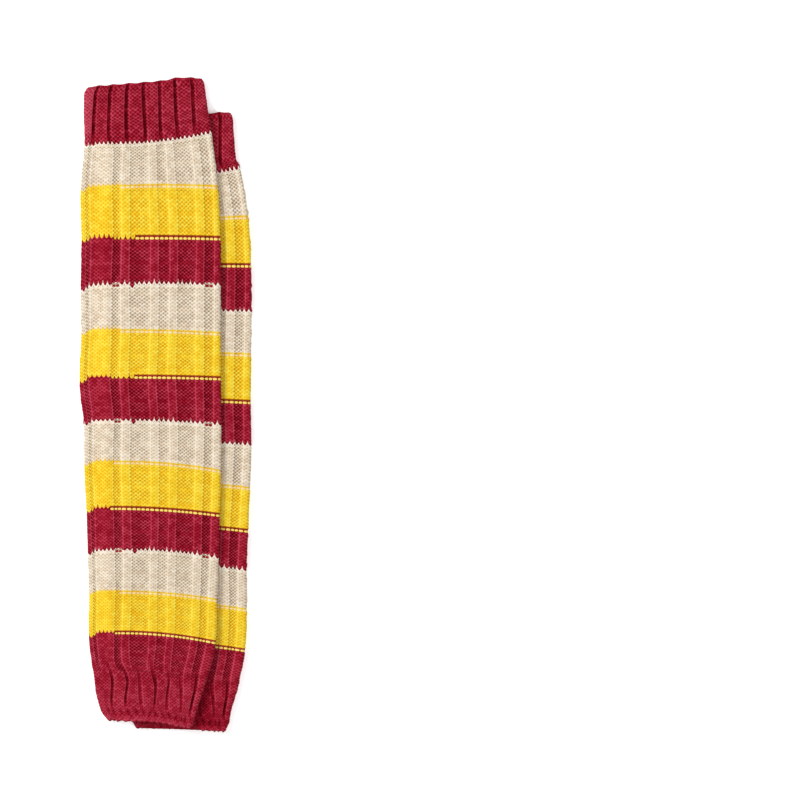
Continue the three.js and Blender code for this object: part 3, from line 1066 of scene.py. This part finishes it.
class Shader:
    """A material's node tree, built from expressions."""

    def __init__(self, name: str) -> None:
        """Makes an empty material with that name."""
        self.material = bpy.data.materials.new(name)
        self.material.use_nodes = True
        self.nodes = self.material.node_tree.nodes
        self.links = self.material.node_tree.links
        self.nodes.clear()

    def add(
        self, kind: str, values: Union[tuple, dict] = (), output: Union[int, str] = 0, **settings
    ) -> Socket:
        """Adds a node.

        Args:
            kind: The node's type.
            values: Values or links of its inputs, in order or by name.
            output: The output to return.
            **settings: The node's own settings, which are set first.

        Returns:
            The chosen output.
        """
        node = self.nodes.new(kind)
        for key, value in settings.items():
            setattr(node, key, value)
        pairs = values.items() if isinstance(values, dict) else enumerate(values)
        for key, value in pairs:
            if isinstance(value, Socket):
                self.links.new(value.link, node.inputs[key])
            else:
                node.inputs[key].default_value = value
        return Socket(self, node.outputs[output])

    def blend(self, a: Union[Socket, Colour], b: Union[Socket, Colour], share: Value) -> Socket:
        """Returns a mix of two colours, with that share of the second."""
        return self.add("ShaderNodeMix", {0: share, 6: a, 7: b}, output=2, data_type="RGBA")

    def finish(self, surface: dict) -> bpy.types.Material:
        """Ends the tree in a Principled surface.

        Args:
            surface: Values or links of its inputs, by name.

        Returns:
            The finished material.
        """
        cloth = self.add("ShaderNodeBsdfPrincipled", surface)
        end = self.nodes.new("ShaderNodeOutputMaterial")
        self.links.new(cloth.link, end.inputs["Surface"])
        return self.material

    def attribute(self, name: str) -> Socket:
        """Returns a number that the mesh carries."""
        return self.add("ShaderNodeAttribute", output="Fac", attribute_name=name)


def linear(red: int, green: int, blue: int) -> Colour:
    """Turns a screen colour, as seen in the studio's light, into the yarn's own colour.

    Args:
        red: Red on the screen, 0 to 255.
        green: Green on the screen.
        blue: Blue on the screen.

    Returns:
        The colour in linear light, with an alpha of 1.
    """
    parts = [part / 255 for part in (red, green, blue)]
    light = [p / 12.92 if p <= 0.04045 else ((p + 0.055) / 1.055) ** 2.4 for p in parts]
    return (*(part / STUDIO_LIGHT for part in light), 1.0)


# Each yarn's colour: painted shade in its holes, its own tone on its sides, painted highlight on its crowns
YARNS = {
    Yarn.RED: (linear(74, 0, 5), linear(158, 18, 41), linear(208, 80, 103)),
    Yarn.BEIGE: (linear(158, 136, 110), linear(235, 216, 190), linear(255, 252, 238)),
    Yarn.YELLOW: (linear(222, 150, 0), linear(250, 212, 48), linear(255, 245, 104)),
}
CREAM = linear(255, 230, 150)
STAIN = linear(255, 160, 20)


@dataclass(frozen=True)
class KnitFinish:
    """A knitted finish: its yarns, how matt and fuzzy it is, and what makes it brighter or darker."""

    name: str
    striped: bool
    roughness: float = 0.95
    sheen: float = 0.03
    sheen_roughness: float = 0.5
    gloss: float = 0.02
    relief: float = 0.0003
    crown_light: float = 0.34
    pile_light: float = 0.25
    fibre_light: float = 0.3
    uneven_light: float = 0.24
    plain_shading: float = 0.4
    striped_shading: float = 0.24
    red_shading: float = 0.09
    pale_loss: float = 0.03
    first_row_light: float = 0.3
    old_yarn_light: float = 0.2
    raggedness: float = 1.5

    def material(self) -> bpy.types.Material:
        """Builds the material.

        Returns:
            The new material.
        """
        shader = Shader(self.name)
        read = shader.attribute
        uv = shader.add("ShaderNodeUVMap", uv_map="knit")
        places = shader.add("ShaderNodeSeparateXYZ", (uv,)).link.node.outputs
        wale = Socket(shader, places[0]) * WALES_ROUND
        level = Socket(shader, places[1]) * COURSES
        fold = ((wale % 1.0) * 2 - 1).size()
        course = level + fold * read("slant")

        # The row whose yarn shows, with saw teeth at the changes, and the dashes of the purled rows
        ragged = self.unevenness(shader, wale + 0.5, course * (1 / RAGGED_COURSES))
        spike = (fold**3) * (ragged * self.raggedness + 1.0) * SPIKE_HEIGHT * read("spike")
        row = course + read("jog") + spike + read("purled") * ACCENT_SHIFT
        into = (course % 1.0 - 0.6) / 0.36
        bar = ((into * into) + (fold / 0.84) ** 3).below(1.0) * read("dash")

        # The crowns and holes of the stitches, and the yarn's twisted plies and loose fibres
        crown = (wale * FULL_TURN).cosine() * (level * FULL_TURN).cosine() * read("stitch_shading")
        ply = ((fold * 3.0 + course * 2.0) * FULL_TURN).sine()
        place = shader.add("ShaderNodeCombineXYZ", (wale * 9.0, course * 4.0, 0.0))
        fluff = {"Vector": place, "Scale": 1.0, "Detail": 3.0, "Roughness": 0.7}
        fibre = (shader.add("ShaderNodeTexNoise", fluff) - 0.5) * 1.4 + ply * 0.1
        # The tone paints highlight on the crowns and shade in the holes and on low yarn, and adds random
        # tone
        tone = 0.5 + crown * self.crown_light + (read("pile") - PILE_MIDDLE) * self.pile_light
        tone = tone + fibre * self.fibre_light + self.unevenness(shader, wale, course) * self.uneven_light
        # Painted shade of the purled rows' lines, dashes and fringes, and painted light where the value is
        # below 0
        tone = tone - read("line")
        shade, cream = read("shade"), read("cream")
        colour = self.yarn_colour(shader, row, tone, shade)
        old = self.yarn_colour(shader, course - ACCENT_SHIFT, tone + self.old_yarn_light, shade)
        colour = shader.blend(colour, STAIN, cream * read("dash").below(0.1))
        colour = shader.blend(colour, shader.blend(old, CREAM, cream), bar)
        height = crown * 0.5 + fibre * 0.35
        bump = {"Height": height, "Distance": self.relief, "Strength": 1.0}
        cloth = {
            "Base Color": colour,
            "Roughness": self.roughness,
            "Specular IOR Level": self.gloss,
            "Sheen Weight": self.sheen,
            "Sheen Roughness": self.sheen_roughness,
            "Normal": shader.add("ShaderNodeBump", bump),
        }
        return shader.finish(cloth)

    def yarn_colour(self, shader: Shader, row: Socket, tone: Socket, shade: Socket) -> Socket:
        """Picks the yarn of a row and shades it.

        Args:
            shader: The material's tree.
            row: Course of the stitch, counted from the top rim.
            tone: From painted shade to painted highlight with random tone, 0 in a hole to 1 on a crown.
            shade: How deep the stitch lies in shade.

        Returns:
            The colour.
        """
        shades = list(YARNS[Yarn.RED])
        if self.striped:
            phase = (row - TOP_CUFF_COURSES - BEIGE_DELAY) % float(STRIPE_REPEAT)
            cuff = row.below(TOP_CUFF_COURSES + BEIGE_DELAY).most(row.above(HEM_COURSE))
            red = phase.above(BEIGE_COURSES + YELLOW_COURSES - BEIGE_DELAY).most(cuff)
            yellow = phase.above(BEIGE_COURSES - BEIGE_DELAY)
            pales = zip(YARNS[Yarn.BEIGE], YARNS[Yarn.YELLOW], shades)
            shades = [shader.blend(shader.blend(a, b, yellow), deep, red) for a, b, deep in pales]
            tone = tone + phase.below(0.8) * self.first_row_light - shade * self.striped_shading
            tone = tone - self.pale_loss - (shade * self.red_shading - self.pale_loss) * red
        else:
            tone = tone - shade * self.plain_shading
        low = (tone * 2).least(1.0).most(0.0)
        high = (tone * 2 - 1).least(1.0).most(0.0)
        return shader.blend(shader.blend(shades[0], shades[1], low), shades[2], high)

    def unevenness(self, shader: Shader, wale: Socket, course: Socket) -> Socket:
        """Returns a number from -0.5 to 0.5 that differs from stitch to stitch."""
        stitch = shader.add("ShaderNodeCombineXYZ", (wale.floor(), course.floor(), 0.5))
        return shader.add("ShaderNodeTexWhiteNoise", {"Vector": stitch}) - 0.5


@dataclass
class Studio:
    """The floor, the lights and the camera, in metres and watts."""

    centre_x: float = 0.1593
    centre_y: float = 0.0035
    view_width: float = 0.544
    camera_height: float = 5.0
    sensor: float = 36.0
    floor_size: float = 16.0
    floor_z: float = -0.0003
    floor_glow: float = 0.35
    world_light: float = 0.24

    def floor(self) -> None:
        """Lays a plain pale floor."""
        bpy.ops.mesh.primitive_plane_add(size=self.floor_size, location=(0, 0, self.floor_z))
        floor = bpy.context.object
        floor.name = "floor"
        bpy.ops.object.transform_apply(location=True)
        shader = Shader("floor_paper")
        paper = {
            "Base Color": (0.95, 0.95, 0.95, 1),
            "Roughness": 0.9,
            "Specular IOR Level": 0.1,
            "Emission Color": (1, 1, 1, 1),
            "Emission Strength": self.floor_glow,
        }
        floor.data.materials.append(shader.finish(paper))

    def light(self, name: str, place: tuple[float, float, float], size: float, watts: float) -> None:
        """Adds a square soft light that faces the pair.

        Args:
            name: Its name.
            place: Where it hangs.
            size: Its side.
            watts: Its power.
        """
        lamp = bpy.data.lights.new(name, "AREA")
        lamp.size = size
        lamp.energy = watts
        holder = bpy.data.objects.new(name, lamp)
        holder.location = place
        tilt = math.acos(place[2] / math.hypot(*place))
        holder.rotation_euler = (tilt, 0, math.atan2(place[1], place[0]) + math.pi / 2)
        bpy.context.scene.collection.objects.link(holder)

    def camera(self) -> None:
        """Hangs the camera straight above the middle of the picture."""
        lens = bpy.data.cameras.new("camera")
        lens.sensor_width = self.sensor
        lens.lens = self.sensor * self.camera_height / self.view_width
        lens.clip_end = 100.0
        holder = bpy.data.objects.new("camera", lens)
        holder.location = (self.centre_x, self.centre_y, self.camera_height)
        bpy.context.scene.collection.objects.link(holder)
        bpy.context.scene.camera = holder

    def build(self) -> None:
        """Sets up the whole studio."""
        self.floor()
        self.light("key", (-2.9, 2.0, 3.4), size=1.6, watts=202.0)
        self.light("fill", (1.6, -1.2, 3.0), size=1.6, watts=28.0)
        self.light("top", (0.1, -0.5, 4.4), size=2.0, watts=50.0)
        world = bpy.data.worlds.new("studio")
        world.use_nodes = True
        background = world.node_tree.nodes["Background"].inputs
        background["Color"].default_value = (1, 1, 1, 1)
        background["Strength"].default_value = self.world_light
        bpy.context.scene.world = world
        bpy.context.scene.view_settings.view_transform = "Standard"
        self.camera()


TO_YELLOW_AT = (30, 69, 108, 147)
TO_RED_AT = (43, 82, 121, 160)
UPPER_ACCENTS = (
    *(Accent(course, TO_YELLOW, wale) for course, wale in zip(TO_YELLOW_AT, (11, 11, 9, 10))),
    *(Accent(course, TO_RED, wale) for course, wale in zip(TO_RED_AT, (14, 14, 8, 9))),
    *(Accent(course, TO_BEIGE, wale, wale + 2) for wale in (9, 29) for course in (56, 95, 134)),
)
LOWER_ACCENTS = (
    *(Accent(course, TO_YELLOW, 18) for course in TO_YELLOW_AT),
    *(Accent(course, TO_RED, 18) for course in TO_RED_AT),
)
UPPER_JOGS = (
    Jog(16, 0, 5, 0.5),
    Jog(29, 0, 3, 0.5),
    *(Jog(course, 13, 14, 1.0) for course in (55, 94, 133)),
    *(Jog(course, 4, 9, -0.6) for course in TO_RED_AT),
)
UPPER_CREASES = (
    Crease(7, 36, 30, 9, 80, 0.35),
    Crease(24, 58, 26, 8, 100, 0.3),
    Crease(16, 92, 34, 7, 15, 0.3),
    Crease(6, 112, 24, 9, 95, 0.35),
    Crease(26, 128, 28, 8, 70, 0.3),
    Crease(12, 150, 30, 8, 20, 0.3),
)
LOWER_CREASES = (
    Crease(30, 40, 26, 6, 85, 0.25),
    Crease(30, 98, 30, 6, 95, 0.25),
    Crease(12, 120, 30, 9, 30, 0.3),
    # A real trough along the upper tube's right edge at the hem, with painted shade where that edge's
    # shadow falls
    Crease(24, 176, 26, 6, 96, 0.8),
)
UPPER_HUMPS = (Hump(0, 25.5, 3, 1.3),)
LOWER_HUMPS = (Hump(COURSES, 12.5, 7, -3.2), Hump(COURSES, 51, 9, -1.3))


# The pieces of a leg warmer: name, first and last course, the solid that each stands for and its slot
PIECES = (
    ("top_cuff_knit", 0, TOP_CUFF_COURSES, "top_cuff", "red_rib_knit"),
    *(
        (f"stripes_{number}", first, first + STRIPE_REPEAT, "leg", "striped_knit")
        for number, first in enumerate(range(TOP_CUFF_COURSES, HEM_COURSE, STRIPE_REPEAT), 1)
    ),
    ("bottom_cuff_knit", HEM_COURSE, COURSES, "bottom_cuff", "red_rib_knit"),
)


def dress(warmer: LegWarmer, materials: dict[str, bpy.types.Material]) -> list[str]:
    """Builds all the cloth of a leg warmer, hangs it on the root body and hides the solids it stands for.

    Args:
        warmer: The leg warmer.
        materials: The material of each slot.

    Returns:
        The names of its pieces.
    """
    names = []
    for name, first, last, node, slot in PIECES:
        piece = KnitShell(warmer, f"{warmer.name}_{name}", first, last).build()
        piece.data.materials.append(materials[slot])
        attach(piece, "root")
        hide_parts(f"{warmer.name}_{node}")
        low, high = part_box(f"{warmer.name}_{node}")
        middle = warmer.place(np.array([(first + last) / 2]))
        width = float(warmer.along("right", middle)[0] - warmer.along("left", middle)[0]) * MM
        ends = warmer.place(np.array([first, last]))
        length = float(np.ptp(warmer.along("y", ends))) * MM
        LOG.info("%s stands for %s, %.3f m high", piece.name, node, high[2] - low[2])
        names.append(piece.name)
    return names


def main() -> None:
    """Builds the pair and its studio."""
    logging.basicConfig(level=logging.INFO)
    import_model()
    materials = {
        "red_rib_knit": KnitFinish("red_rib_knit", striped=False).material(),
        "striped_knit": KnitFinish("striped_knit", striped=True).material(),
    }
    lower = LegWarmer("lower", LOWER_ROWS, LOWER_ACCENTS, LOWER_CREASES, LOWER_HUMPS, hem_light=-0.15)
    upper = LegWarmer(
        "upper",
        UPPER_ROWS,
        UPPER_ACCENTS,
        UPPER_CREASES,
        UPPER_HUMPS,
        jogs=UPPER_JOGS,
        droops=UPPER_DROOPS,
        puff=0.3,
        hem_light=0.15,
        hem_dip=3.6,
        under=lower,
    )
    below = dress(lower, materials)
    dress(upper, materials)
    Studio().build()


if __name__ == "__main__":
    main()
